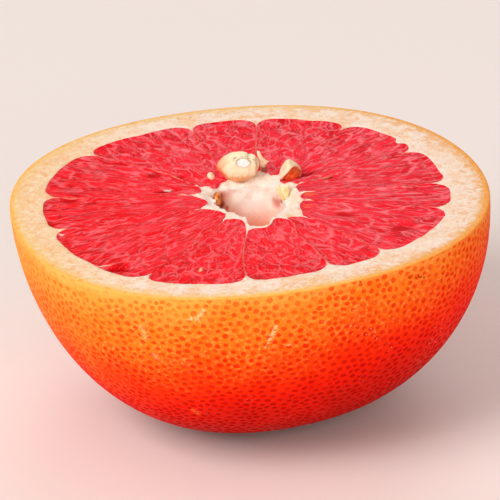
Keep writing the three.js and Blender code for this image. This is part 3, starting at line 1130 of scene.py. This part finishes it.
def makePith():
    beds = clippedBeds()
    rim = rimLoop()
    flat, faces, _ = sheetOf(rim, [*beds, hollowLoop], face["spacing"], face["seed"])
    radius = np.linalg.norm(flat, axis=1)
    edge = (fruit["radius"] - fruit["zest"]) * outline(np.arctan2(flat[:, 1], flat[:, 0]))
    rimward = np.clip(1 - (edge - radius) / 4.2, 0, 1)
    level, rib, toHollow, torn = levelOfPith(flat, beds, rimward)
    points = [np.concatenate([flat, level[:, None]], 1)]
    faces = faces.tolist()
    rimValues, ribValues = [rimward], [rib]
    hollowValues = [np.exp(-((toHollow / (5.0 - 1.5 * torn)) ** 2))]
    paints = [stainCore(points[0], 0.0)]
    count = len(flat)

    def addRing(upper, ringPoints, isHollow):
        # joins a new ring of points to the ring above it
        nonlocal count
        size = len(upper)
        lower = list(range(count, count + size))
        for k in range(size):
            j = (k + 1) % size
            faces.append([upper[j], upper[k], lower[k], lower[j]])
        points.append(ringPoints)
        rimValues.append(np.zeros(size))
        ribValues.append(np.zeros(size))
        hollowValues.append(np.full(size, 1.0 if isHollow else 0.0))
        count += size
        return lower

    start = len(rim)
    outerRing = list(range(len(rim)))
    for bed in beds:
        ring = list(range(start, start + len(bed)))[::-1]
        start += len(bed)
        floor = np.concatenate([bed, np.full((len(bed), 1), faceLevel - face["bedDepth"])], 1)[::-1]
        lower = addRing(ring, floor, False)
        paints.append(np.zeros((len(bed), 4)))
        faces.append(lower)
    wellTop = list(range(start, start + len(hollowLoop)))[::-1]
    well = coreWell(level[start : start + len(hollowLoop)])
    upper = wellTop
    for ring in well[1:]:
        ring = ring[::-1].copy()
        paints.append(stainCore(ring))
        upper = addRing(upper, ring, True)
    faces.append(upper)
    angles = np.arctan2(rim[:, 1], rim[:, 0])
    upper = outerRing
    for k in range(1, face["outerRings"]):
        steepness = turn / 4 * (1 - k / face["outerRings"])
        ring = bodyPoint(angles, np.full(len(angles), steepness), fruit["zest"])
        upper = addRing(upper, ring, False)
        paints.append(np.zeros((len(ring), 4)))
    faces.append(upper)
    piece = makePiece(
        "pith_and_membranes",
        np.concatenate(points),
        faces,
        pith,
        {
            "rim": np.concatenate(rimValues),
            "rib": np.concatenate(ribValues),
            "hollow": np.concatenate(hollowValues),
            "paint": np.concatenate(paints),
        },
    )
    tidyNormals(piece)
    return piece


pithPiece = makePith()
print("pith", len(pithPiece.data.polygons), "faces")

# the flesh: one bed of juice sacs in each segment

sacs = dict(
    length=(5.6, 9.5),  # in the front and back segments, and in the side ones
    width=(2.9, 1.7),
    drop=0.5,  # the walls of the sacs lie this far under the face
    dome=0.24,
    swell=0.4,
    spacing=0.38,
    seed=20,  # of the points
    shuffle=5,  # of the pattern
    marks=(
        # x, y, half length, half width, turn, depth, colour: cuts and folds painted dark red where they
        # sink, partly painted shade; painted glints as white slivers; stray cells
        (-18.3, 7.2, 2.9, 0.75, 6, 0.8, "#b0060c"),
        (-18.0, 7.9, 1.0, 0.2, 10, 0.0, "#fff0ea"),
        (-29.5, -35.3, 3.8, 1.0, -4, 0.9, "#b4040a"),
        (-32.5, -33.2, 2.4, 0.28, 14, -0.2, "#ffc4b4"),
        (-42.0, -14.8, 0.7, 0.3, 0, 0.0, "#fff0e0"),
        (-44.5, -8.5, 1.4, 1.6, 0, 0.4, "#d0080e"),
        (-40.3, 4.6, 2.2, 1.3, 12, 0.5, "#cc0a14"),
        (-36.0, 2.4, 2.8, 0.5, 5, 0.3, "#c40812"),
        (12.5, 12.0, 5.0, 1.0, 30, 0.8, "#b8060c"),
        (18.0, 9.6, 2.2, 0.8, 12, 0.6, "#9c0808"),
        (14.2, 0.4, 1.5, 0.6, 0, -0.3, "#ff6a48"),
        (13.0, -2.6, 1.0, 0.5, 10, -0.2, "#ff9a6e"),
        (13.9, -6.2, 1.3, 0.7, 0, -0.3, "#fb5a40"),
        (22.0, -11.5, 2.6, 1.3, -18, 0.4, "#cc0a12"),
        (34.0, -21.0, 2.6, 1.6, 0, 0.3, "#d00a12"),
        (-21.0, 16.5, 2.0, 1.6, 0, 0.5, "#c8060c"),
        (-15.5, 14.5, 1.6, 1.2, 0, 0.5, "#c8060c"),
        (-11.0, -38.0, 0.35, 1.3, -8, -0.2, "#ffd09a"),
    ),
)


def sacTree():
    tree, put, given = startTree("sacRelief", {"Dome": "Float", "Swell": "Float"})
    cells, top, edge = (
        put("GeometryNodeInputNamedAttribute", {0: name}, data_type=kind).outputs[0]
        for name, kind in (("cellMap", "FLOAT_VECTOR"), ("top", "FLOAT"), ("edge", "FLOAT"))
    )
    _, walls, random = vesiclePattern(put, cells)
    apart = put("ShaderNodeSeparateXYZ", {0: random}).outputs
    rise = put("multiply", put("fade", walls, 0.0, 0.3), put("fade", apart[2], 0.0, 1.0, 0.45, 1.0))
    swell = put("multiply", put("subtract", put("noise", cells, 0.35, 2.0), 0.5), given[2])
    level = put("add", put("multiply", rise, given[1]), swell)
    level = put("multiply", level, put("fade", edge, 0.0, 1.3, 0.15, 1.0))
    level = put("multiply", level, put("multiply", top, mm))
    offset = put("ShaderNodeCombineXYZ", {2: level}).outputs[0]
    moved = put("GeometryNodeSetPosition", {"Geometry": given[0], "Offset": offset})
    endTree(put, moved.outputs[0], flesh)
    return tree


def markedFlesh(points):
    # how deep each point lies in a cut or fold, and the paint of the marks, with their painted shade and
    # painted glints
    deep, paint = np.zeros(len(points)), np.zeros((len(points), 4))
    for x, y, halfLength, halfWidth, heading, depth, code in sacs["marks"]:
        away = points[:, :2] - np.array([x, y])
        along = away @ np.array([math.cos(math.radians(heading)), math.sin(math.radians(heading))])
        across = away @ np.array([-math.sin(math.radians(heading)), math.cos(math.radians(heading))])
        near = np.exp(-((along / halfLength) ** 2) - (across / halfWidth) ** 2)
        deep = deep + depth * near
        paintOver(paint, code, 0.9 * eased(near, 0.15, 0.75))
    return deep, paint


def makeFlesh():
    points, faces, cellMap, edge, top, paints, outer = [], [], [], [], [], [], []
    count = 0
    beds = clippedBeds()
    rng = np.random.default_rng(sacs["shuffle"])
    for i, bed in enumerate(beds):
        flat, triangles, loopCount = sheetOf(bed, [], sacs["spacing"], sacs["seed"] + i)
        following = (i + 1) % len(face["membranes"])
        first, last = face["membranes"][i], face["membranes"][following]
        middle = math.radians((first + last + (360 if last < first else 0)) / 2)
        sideways = abs(math.cos(middle)) ** 1.5
        length = sacs["length"][0] + (sacs["length"][1] - sacs["length"][0]) * sideways
        width = sacs["width"][0] + (sacs["width"][1] - sacs["width"][0]) * sideways
        along = flat @ np.array([math.cos(middle), math.sin(middle)])
        across = flat @ np.array([-math.sin(middle), math.cos(middle)])
        fan = np.sqrt(30 / np.clip(along, 8, None))  # the sacs narrow towards the core
        shift = rng.uniform(0, 50, 2)
        cells = np.stack([along / length + shift[0], across * fan / width + shift[1], 0 * along], -1)
        deep, paint = markedFlesh(flat)
        inward = distanceTo(flat, [bed])
        level = faceLevel - 0.18 - (sacs["drop"] - 0.18) * eased(inward, 0.0, 1.0) - deep
        lower = np.concatenate(
            [flat[:loopCount], np.full((loopCount, 1), faceLevel - face["bedDepth"] + 0.2)], 1
        )
        points.append(np.concatenate([flat, level[:, None]], 1))
        points.append(lower)
        faces += (triangles + count).tolist()
        base = count + len(flat)
        for k in range(loopCount):
            j = (k + 1) % loopCount
            faces.append([count + j, count + k, base + k, base + j])
        faces.append([base + k for k in range(loopCount)][::-1])
        cellMap += [cells, cells[:loopCount]]
        edge += [inward, np.zeros(loopCount)]
        top += [np.ones(len(flat)), np.zeros(loopCount)]
        paints += [paint, paint[:loopCount]]
        outward = eased(np.linalg.norm(flat, axis=1), 26, 42)
        outer += [outward, outward[:loopCount]]
        count = base + loopCount
    piece = makePiece(
        "juice_sacs",
        np.concatenate(points),
        faces,
        flesh,
        {
            "cellMap": np.concatenate(cellMap),
            "edge": np.concatenate(edge),
            "top": np.concatenate(top),
            "outer": np.concatenate(outer),
            "paint": np.concatenate(paints),
        },
    )
    grown(piece, sacTree(), {"Dome": sacs["dome"], "Swell": sacs["swell"]})
    tidyNormals(piece)
    return piece


fleshPiece = makeFlesh()
print("flesh", len(fleshPiece.data.polygons), "faces")

# the seeds, each fitted to the box of its own solid

# how much less than its box a wall seed fills, by axis, at the low end and at the high end
seedInset = {"seed_left_wall": {0: (0.45, 0.0), 2: (0.9, 0.3)}, "seed_right_wall": {0: (0.0, 0.45)}}


def hump(values, middle, width):
    # 1 at the middle, falling away smoothly on both sides
    return np.exp(-(((values - middle) / width) ** 2))


def ballOf(fineness):
    bm = bmesh.new()
    bmesh.ops.create_icosphere(bm, subdivisions=fineness, radius=1.0)
    directions = np.array([v.co[:] for v in bm.verts])
    faces = [[v.index for v in f.verts] for f in bm.faces]
    bm.free()
    return directions, faces


def pressed(directions, planes, sharp):
    # a ball pressed flat against planes given as a direction and a distance
    total = np.ones(len(directions))
    for x, y, z, distance in planes:
        facing = directions @ (np.array([x, y, z]) / math.sqrt(x * x + y * y + z * z))
        total += (np.clip(facing, 0, None) / distance) ** sharp
    return directions / (total ** (1 / sharp))[:, None]


def fittedTo(points, node):
    # stretched to the box of its solid, or to the part of it that shows
    low, high = (np.array(corner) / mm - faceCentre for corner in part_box(node))
    for axis, (start, end) in seedInset.get(node, {}).items():
        low[axis], high[axis] = low[axis] + start, high[axis] - end
    share = (points - points.min(0)) / (points.max(0) - points.min(0))
    return low + share * (high - low)


def seedBody(node, planes, sharp, fineness=6):
    # the pressed ball in its box, its places from the box's middle, and how high each looks from in front
    directions, faces = ballOf(fineness)
    points = fittedTo(pressed(directions, planes, sharp), node)
    local = points - (points.min(0) + points.max(0)) / 2
    rise = 0.4 * local[:, 1] + 0.92 * local[:, 2]
    return directions, faces, points, local, rise


def finishSeed(node, directions, points, faces, push, paint, material):
    shaped = fittedTo(points + directions * push[:, None], node)
    return makePiece(node + "_coat", shaped, faces, material, {"paint": paint})


bigSeed = dict(
    planes=(
        (0.05, -0.95, 0.3, 0.86),
        (-0.12, -0.35, 0.95, 0.84),
        (-0.72, -0.15, 0.7, 0.74),
        (0.55, -0.1, 0.85, 0.86),
        (1.0, -0.15, 0.1, 0.9),
        (0.8, -0.2, -0.65, 0.84),
        (-0.8, -0.35, -0.55, 0.84),
        (0.0, -0.2, -1.0, 0.86),
        (0.1, 1.0, 0.1, 0.95),
        (0.0, 0.6, 0.8, 0.92),
    ),
    kernel=(1.3, 0.8, 1.6, 1.0),  # middle and half sizes of the white spot
    ridge=3.75,
    groove=4.45,
)


def makeLargeSeed():
    directions, faces, points, local, rise = seedBody("seed_large", bigSeed["planes"], 9)
    x = local[:, 0]
    front = eased(directions @ np.array([0, -0.92, 0.4]), -0.1, 0.2)
    midX, midRise, halfX, halfRise = bigSeed["kernel"]
    ring = np.hypot((x - midX) / halfX, (rise - midRise) / halfRise)
    rough, fine = lumps(points, 1.6), lumps(points, 0.55, 7)
    ring = ring + 0.1 * fine
    push = 0.16 * rough + 0.06 * fine
    push += front * (-0.22 * (1 - eased(ring, 0.82, 1.0)) + 0.1 * hump(ring, 1.15, 0.12))
    push += front * 0.38 * hump(x, bigSeed["ridge"], 0.5)
    push -= front * 0.3 * hump(x, bigSeed["groove"], 0.22)
    push -= 0.45 * hump(x, 2.9, 0.4) * eased(local[:, 2], 1.4, 2.8)
    fringe = lumps(local * np.array([3.2, 3.2, 0.5]), 1.0, 3)
    push += 0.3 * fringe * eased(-rise, 1.2, 2.6)
    paint = np.zeros((len(points), 4))
    # painted light on the top; painted shade on the left side; orange-red on the lower left and orange at
    # the base: painted glow reflected from the red flesh round it
    paintOver(paint, "#ffeec4", 0.7 * eased(rise + 0.3 * rough, 1.1, 2.0))
    paintOver(paint, "#f7b078", 0.75 * eased(-x + rough, 1.9, 4.2))
    paintOver(paint, "#f0562c", 0.85 * eased(-x - 0.7 * rise + 0.8 * rough, 3.4, 5.2))
    paintOver(paint, "#f3a25c", 0.75 * eased(-rise + 0.5 * fringe, 2.0, 2.9))
    paintOver(paint, "#f6eee8", front * (1 - eased(ring, 0.9, 1.02)))
    upper = eased(rise - midRise + 0.25 * (x - midX), -0.5, 0.4)
    paintOver(paint, "#94806e", 0.85 * front * hump(ring, 1.08, 0.1) * (0.45 + 0.55 * upper))
    dashes = eased(lumps(points, 0.35, 19), -0.1, 0.3)
    paintOver(paint, "#8c7c68", 0.8 * front * upper * dashes * hump(ring, 1.55, 0.12))
    paintOver(paint, "#9a4038", 0.8 * front * hump(x, -0.6, 0.3) * hump(rise, 2.05, 0.22))
    line = hump(x, bigSeed["groove"], 0.16) * eased(rise, -1.1, -0.4)
    paintOver(paint, "#86402a", 0.75 * front * line)
    # orange on the lower right: painted glow reflected from the red flesh
    paintOver(paint, "#ee9a5c", 0.6 * front * hump(x, 4.1, 0.35) * hump(rise, -1.2, 0.9))
    paintOver(paint, "#5c5a44", 0.85 * front * hump(x, 3.95, 0.18) * hump(rise, -1.7, 0.2))
    return finishSeed("seed_large", directions, points, faces, push, paint, creamCoat)


archSeed = dict(
    planes=(
        (-0.85, -0.1, 0.55, 0.62),
        (0.66, -0.1, 0.75, 0.6),
        (0.0, -1.0, 0.2, 0.85),
        (1.0, -0.2, -0.1, 0.95),
        (0.0, 0.0, -1.0, 0.8),
        (0.0, 1.0, 0.0, 0.9),
    ),
    lip=0.55,
)


def makeBackRightSeed():
    node = "seed_back_right"
    directions, faces, points, local, rise = seedBody(node, archSeed["planes"], 9)
    x = local[:, 0]
    rough, fine = lumps(points, 1.2, 4), lumps(points, 0.45, 11)
    front = eased(directions @ np.array([0.3, -0.9, 0.3]), -0.25, 0.1)
    within = np.minimum((x - 0.96 * rise + 0.35) / 1.4, 0.85 - rise + 0.15 * x) + 0.2 * rough
    bare = eased(within, -0.12, 0.16) * front
    push = 0.1 * rough + 0.05 * fine - archSeed["lip"] * bare + 0.16 * bare * fine
    paint = np.zeros((len(points), 4))
    # lighter towards the top: painted light
    paintOver(paint, "#ffe9b4", 0.6 * eased(rise, 0.8, 1.8))
    paintOver(paint, "#e4561c", bare)
    paintOver(paint, "#b83a0e", 0.8 * bare * eased(fine + 0.5 * rough, 0.1, 0.5))
    paintOver(paint, "#f08a3c", 0.5 * bare * eased(-fine, 0.15, 0.5))
    return finishSeed(node, directions, points, faces, push, paint, creamCoat)


def makeSmallSeed():
    planes = ((0.7, -0.3, 0.65, 0.66), (-0.7, -0.3, -0.65, 0.66), (0.2, -1.0, 0.3, 0.9))
    directions, faces, points, local, rise = seedBody("seed_small_left", planes, 7, 5)
    push = 0.07 * lumps(points, 0.8) + 0.03 * lumps(points, 0.3, 5)
    paint = np.zeros((len(points), 4))
    # orange on the lower right side: painted shade
    paintOver(paint, "#f7b478", 0.6 * eased(local[:, 0] - rise, 0.4, 1.3))
    return finishSeed("seed_small_left", directions, points, faces, push, paint, creamCoat)


def makeLeftWallSeed():
    planes = ((1.0, -0.6, 0.2, 0.8), (0.5, -1.0, 0.1, 0.85), (0.3, 0.0, 1.0, 0.95))
    directions, faces, points, local, rise = seedBody("seed_left_wall", planes, 6, 5)
    long = lumps(local * np.array([2.6, 2.6, 0.5]), 1.0)
    push = 0.16 * long
    paint = np.zeros((len(points), 4))
    paintOver(paint, "#a63c12", 0.8 * eased(long, 0.1, 0.4))
    paintOver(paint, "#f6b06a", 0.7 * eased(-long, 0.15, 0.45))
    # darker towards the bottom, where it sits in its slot: painted shade
    paintOver(paint, "#7c1a08", 0.9 * eased(-rise, 1.2, 2.0))
    paintOver(paint, "#8a2410", 0.8 * eased(np.abs(local[:, 0]), 0.55, 0.95))
    return finishSeed("seed_left_wall", directions, points, faces, push, paint, brownCoat)


def makeRightWallSeed():
    planes = (
        (-0.5, -0.9, 0.2, 0.72),
        (0.5, -0.95, 0.2, 0.74),
        (0.0, -0.15, 1.0, 0.72),
        (-0.85, -0.15, -0.6, 0.56),
        (1.0, -0.1, 0.0, 0.8),
        (0.6, -0.3, -0.8, 0.84),
    )
    node = "seed_right_wall"
    directions, faces, points, local, rise = seedBody(node, planes, 14, 5)
    fold = local[:, 0] - 0.25 + 0.3 * local[:, 2]
    rough, fine = lumps(points, 1.0, 2), lumps(points, 0.4, 8)
    push = 0.16 * rough + 0.06 * fine - 0.2 * hump(fold, 0, 0.25)
    push += 0.2 * hump(fold, -0.6, 0.3)
    paint = np.zeros((len(points), 4))
    paintOver(paint, "#fff0cc", 0.8 * hump(fold, 0.1, 0.3))
    paintOver(paint, "#f3bd6e", 0.7 * hump(fold, -0.35, 0.16))
    # lighter towards the top: painted light
    paintOver(paint, "#ffeccf", 0.6 * eased(rise, 1.0, 1.8))
    return finishSeed(node, directions, points, faces, push, paint, yellowCoat)


flap = dict(
    # x and height over the face of its outline, the place in y, half its thickness
    outline=(
        (3.6, -1.4),
        (3.4, 0.8),
        (3.1, 2.6),
        (2.8, 4.4),
        (2.95, 4.9),
        (3.5, 4.75),
        (3.75, 3.9),
        (4.15, 3.1),
        (4.8, 2.35),
        (5.6, 1.8),
        (5.2, 1.5),
        (4.75, 1.1),
        (4.9, -0.2),
        (5.2, -1.4),
    ),
    y=15.2,
    half=0.5,
    edgeStep=0.14,
    spacing=0.15,
    seed=3,
)


def makeFlap():
    loop = resampled(flap["outline"], flap["edgeStep"])
    flat, triangles, rimCount = sheetOf(loop, [], flap["spacing"], flap["seed"])
    triangles = triangles[triangles.max(1) >= rimCount]  # without the corners that have no thickness
    away = np.maximum(distanceTo(flat, [loop]), 0.03)
    away[:rimCount] = 0
    thick = flap["half"] * np.sqrt(np.clip(away / 0.45, 0, 1))
    bend = 0.35 * (flat[:, 0] - 3.6) ** 2 * 0.3 - 0.04 * flat[:, 1] ** 2 * 0.3
    wobble = 0.12 * np.array([noise.noise(Vector((x * 1.6, z * 0.7, 2.0))) for x, z in flat])
    middle = flap["y"] + bend + wobble
    front = np.stack([flat[:, 0], middle - thick, faceLevel + flat[:, 1]], -1)
    back = np.stack([flat[:, 0], middle + thick, faceLevel + flat[:, 1]], -1)
    behind = np.arange(len(flat))
    behind[rimCount:] = np.arange(len(flat), 2 * len(flat) - rimCount)
    faces = triangles.tolist() + behind[triangles][:, ::-1].tolist()
    points = np.concatenate([front, back[rimCount:]])
    paint = np.zeros((len(points), 4))
    heights = points[:, 2] - faceLevel
    # lighter towards the top: painted light
    paintOver(paint, "#fff0d0", 0.6 * eased(heights, 2.0, 4.0))
    foot = 1 - eased(heights + 0.4 * lumps(points, 0.6), 0.6, 1.5)
    paintOver(paint, "#8c1a10", 0.85 * foot * eased(points[:, 0], 3.2, 3.9))
    return makePiece("torn_flap", points, faces, creamCoat, {"paint": paint})


seedPieces = {
    "seed_large": makeLargeSeed(),
    "seed_back_right": makeBackRightSeed(),
    "seed_small_left": makeSmallSeed(),
    "seed_left_wall": makeLeftWallSeed(),
    "seed_right_wall": makeRightWallSeed(),
}
flapPiece = makeFlap()
tidyNormals(flapPiece)
print("seeds made")

# floor and light


studio = dict(
    floor="#f3e9e4",
    sky="#fff6ee",
    skyStrength=0.42,
    lamps=(
        # name, place in metres, size, power
        ("keyLight", (-0.75, -0.6, 0.85), 0.7, 10.5),
        ("backLight", (0.25, 0.9, 0.8), 0.8, 3.6),
        ("frontFill", (0.35, -1.2, 0.35), 1.0, 7.0),
    ),
    aim=(0, 0, 0.03),
)


def makeStage():
    material, put = newMaterial("paperSweep")
    # matt paper: an even, nearly white ground
    surface(put, studio["floor"], Roughness=0.8)
    mesh = bpy.data.meshes.new("floor")
    mesh.from_pydata([(-4, -4, 0), (4, -4, 0), (4, 6, 0), (-4, 6, 0)], [], [(0, 1, 2, 3)])
    mesh.materials.append(material)
    floor = bpy.data.objects.new("floor", mesh)
    scene.collection.objects.link(floor)
    world = bpy.data.worlds.new("studio")
    world.use_nodes = True
    sky = world.node_tree.nodes["Background"].inputs
    sky[0].default_value = linear(studio["sky"])
    sky[1].default_value = studio["skyStrength"]
    scene.world = world
    scene.view_settings.view_transform = "Standard"
    for name, place, size, power in studio["lamps"]:
        lamp = bpy.data.lights.new(name, "AREA")
        lamp.size = size
        lamp.energy = power
        holder = bpy.data.objects.new(name, lamp)
        holder.location = place
        aim = Vector(studio["aim"]) - Vector(place)
        holder.rotation_euler = aim.to_track_quat("-Z", "Y").to_euler()
        scene.collection.objects.link(holder)


makeStage()
print("stage set")

# each piece hangs from the root body, and the CAD solids it stands in for are hidden

grownParts = ((skinPiece, "skin"), (pithPiece, "pith"), (fleshPiece, "flesh"), (flapPiece, "membrane"))
for piece, slot in grownParts:
    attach(piece, "root")
    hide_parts("half_grapefruit")
for node, piece in seedPieces.items():
    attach(piece, "root")
    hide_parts(node)
